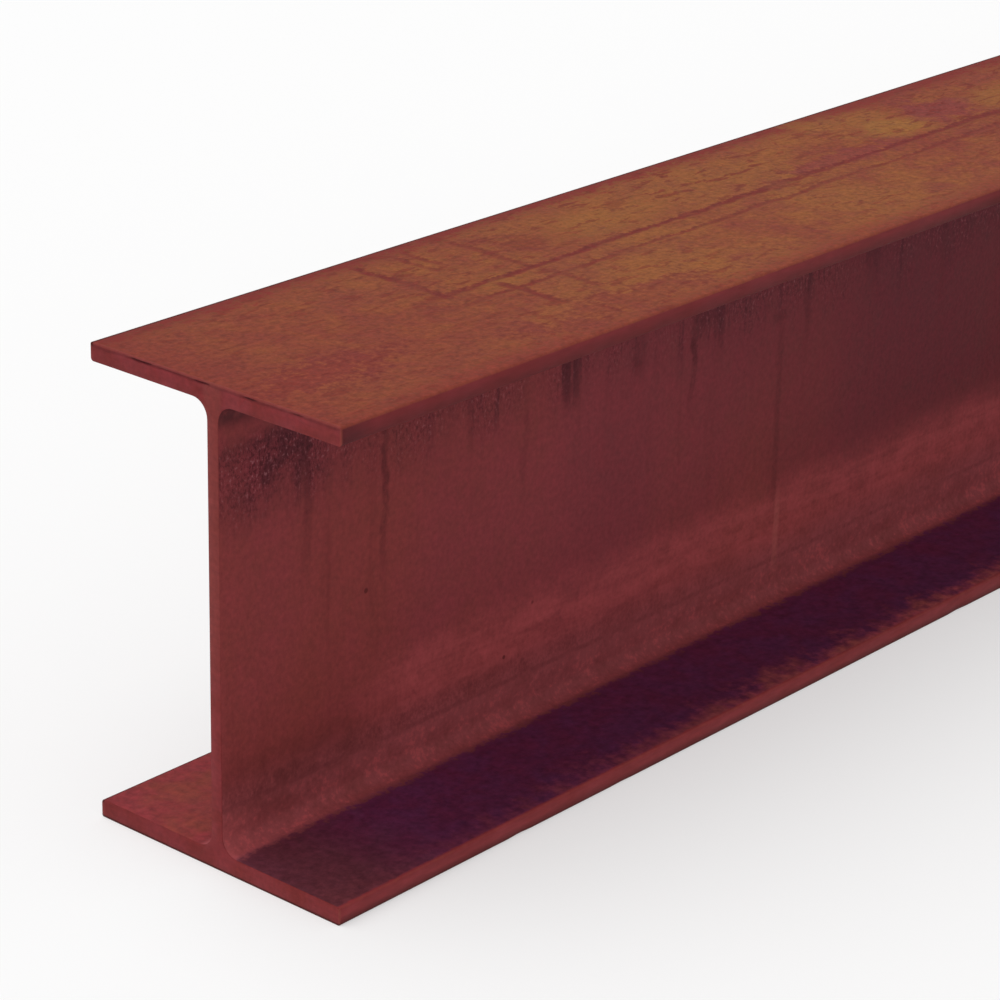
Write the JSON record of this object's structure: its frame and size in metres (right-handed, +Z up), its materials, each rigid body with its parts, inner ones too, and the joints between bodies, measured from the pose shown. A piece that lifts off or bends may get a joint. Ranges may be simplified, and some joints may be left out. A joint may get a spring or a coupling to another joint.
{
  "type": "steel i-beam",
  "caption": "Hot-rolled steel I-beam: parallel flanges joined by a thin web with root fillets, square-sawn ends, rust-red mill surface.",
  "frame": {"origin": "under the middle of the beam, on the underside of the bottom flange", "axes": "+X along the beam, +Y across the flanges, +Z up through the depth of the section"},
  "size_m": [3, 0.1332, 0.2032],
  "materials": {
    "rusted_steel": "matt rust-red mill scale, warmer brown on the top flange"
  },
  "bodies": {
    "root": {"beam": "rusted_steel"}
  },
  "joints": []
}
